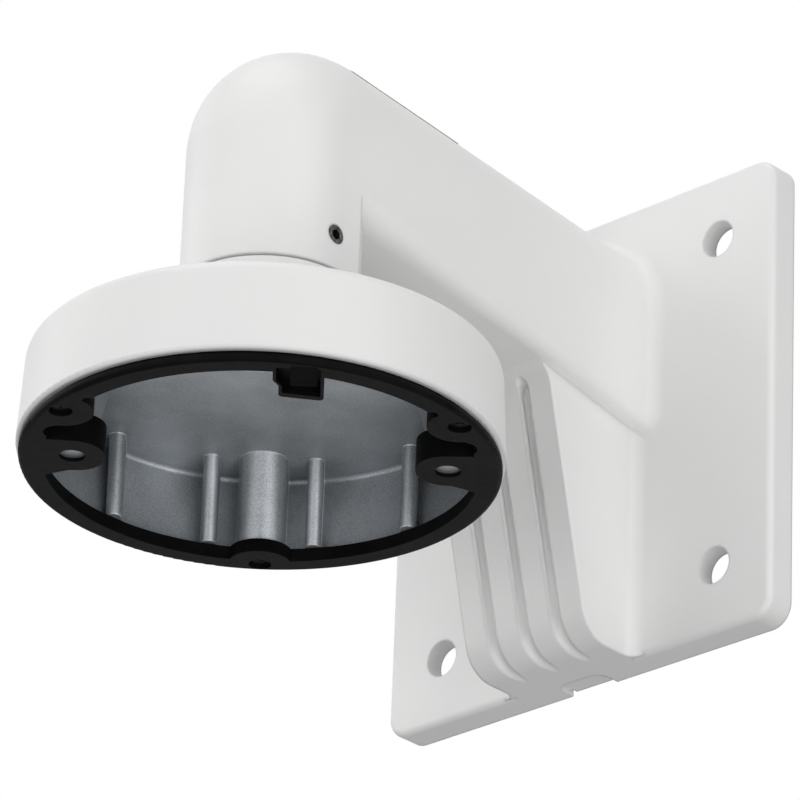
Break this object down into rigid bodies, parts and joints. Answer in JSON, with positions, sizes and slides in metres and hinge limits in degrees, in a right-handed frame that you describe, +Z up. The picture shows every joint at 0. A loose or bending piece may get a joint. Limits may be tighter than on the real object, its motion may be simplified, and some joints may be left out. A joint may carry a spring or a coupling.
{
  "type": "camera wall bracket",
  "caption": "White cast wall bracket for a mini dome camera: square wall plate, fluted gusset, hollow bent arm and an open round cup with a black mounting ring.",
  "frame": {"origin": "centre of the four wall holes, on the wall plate's back face", "axes": "+Z up, +Y into the wall, the arm and cup reach out along -Y"},
  "size_m": [0.13, 0.1844, 0.1319],
  "materials": {
    "powder_coat": "smooth satin powder coat",
    "cup_coat": "satin powder coat outside, bare cast metal inside",
    "black_plastic": "satin moulded",
    "screw_steel": "plain steel",
    "dark_screw": "black zinc"
  },
  "bodies": {
    "root": {"arm_casting": "powder_coat", "cup": "cup_coat", "ring": "black_plastic", "set_screw": "screw_steel", "ring_screws": "dark_screw"}
  },
  "joints": []
}
